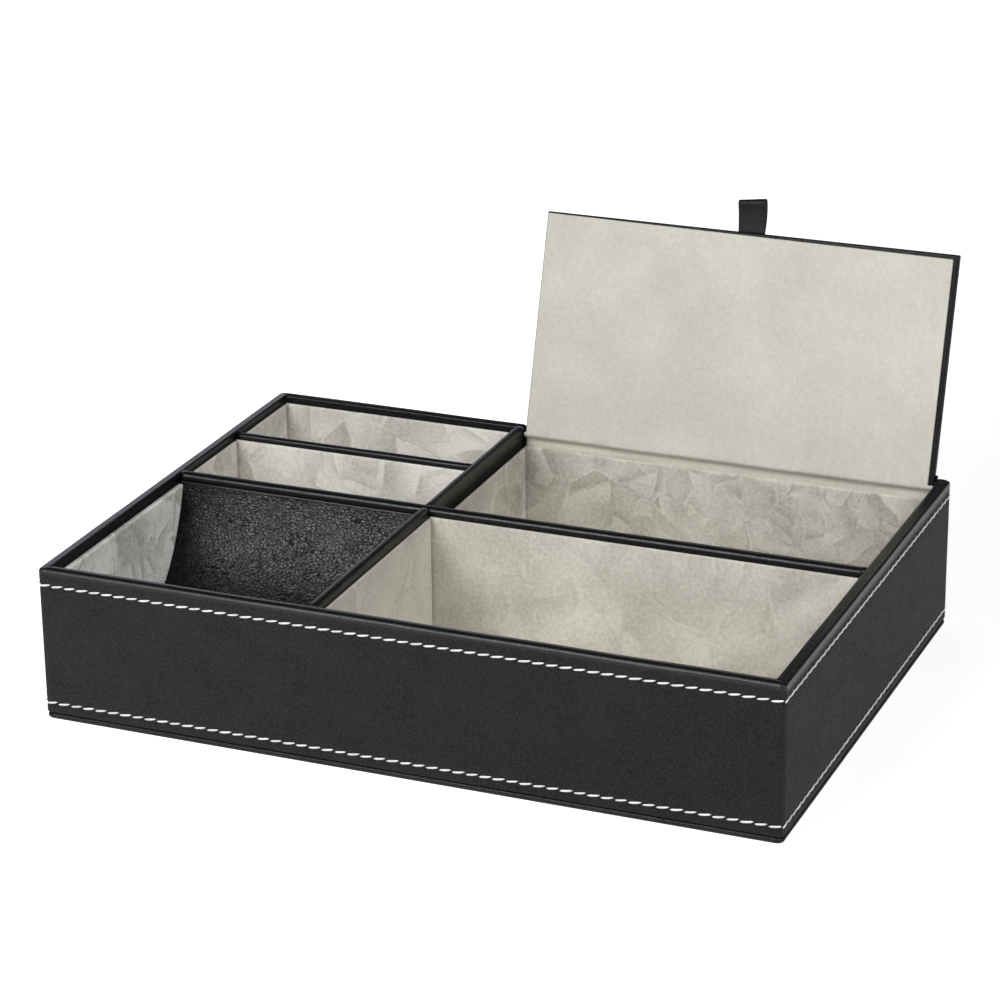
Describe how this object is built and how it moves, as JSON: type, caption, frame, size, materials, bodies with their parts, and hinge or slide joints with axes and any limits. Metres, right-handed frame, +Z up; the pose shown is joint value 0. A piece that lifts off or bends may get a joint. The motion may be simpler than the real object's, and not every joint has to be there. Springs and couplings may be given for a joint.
{
  "type": "valet tray",
  "caption": "Shallow leather-covered valet tray with suede-lined compartments, a curved coin scoop and a hinged lid with a ribbon pull over the right rear compartment.",
  "frame": {"origin": "centre of the underside, on the surface the tray stands on", "axes": "+X to the right along the front, +Y to the back, +Z up"},
  "size_m": [0.28, 0.2237, 0.1535],
  "materials": {
    "board": "grey board and fibreboard, unseen under the leather and suede",
    "black_leather": "black coated leather, fine matt grain, soft sheen on rolled edges",
    "grained_leather": "black coated leather, coarse pebbled grain, semi-gloss",
    "suede": "warm grey velour suede cloth over card, with darker crushed patches",
    "ribbon": "black satin ribbon"
  },
  "bodies": {
    "tray": {"base_board": "board", "front_wall_board": "board", "back_wall_board": "board", "left_wall_board": "board", "right_wall_board": "board", "centre_divider_board": "board", "cross_divider_board": "board", "rear_divider_board": "board", "scoop_card": "board", "base_cover": "black_leather", "outer_cover": "black_leather", "centre_divider_cover": "black_leather", "cross_divider_cover": "black_leather", "rear_divider_cover": "black_leather", "hinge_leather": "black_leather", "scoop_leather": "grained_leather", "hinge_strip": "suede", "scoop_bay_floor": "suede", "scoop_bay_left_lining": "suede", "scoop_bay_right_lining": "suede", "scoop_bay_front_lining": "suede", "front_bay_floor": "suede", "front_bay_left_lining": "suede", "front_bay_right_lining": "suede", "front_bay_front_lining": "suede", "front_bay_back_lining": "suede", "lidded_bay_floor": "suede", "lidded_bay_left_lining": "suede", "lidded_bay_right_lining": "suede", "lidded_bay_front_lining": "suede", "lidded_bay_back_lining": "suede", "middle_bay_floor": "suede", "middle_bay_left_lining": "suede", "middle_bay_right_lining": "suede", "middle_bay_front_lining": "suede", "middle_bay_back_lining": "suede", "rear_bay_floor": "suede", "rear_bay_left_lining": "suede", "rear_bay_right_lining": "suede", "rear_bay_front_lining": "suede", "rear_bay_back_lining": "suede"},
    "lid": {"lid_board": "board", "lid_cover": "black_leather", "lid_lining": "suede"},
    "pull": {"pull_tab": "ribbon"}
  },
  "joints": [
    {"name": "lid_hinge", "type": "hinge", "parent": "tray", "child": "lid", "pos_m": [0, 0.0965, 0.0548], "axis": [1, 0, 0], "range_deg": [0, 107]},
    {"name": "tab_fold", "type": "hinge", "parent": "lid", "child": "pull", "pos_m": [0.0516, 0.1204, 0.14082], "axis": [1, 0, 0], "range_deg": [-98.5, 0]}
  ],
  "couplings": [
    {"joint": "tab_fold", "follows": "lid_hinge", "ratio": -0.91589}
  ]
}
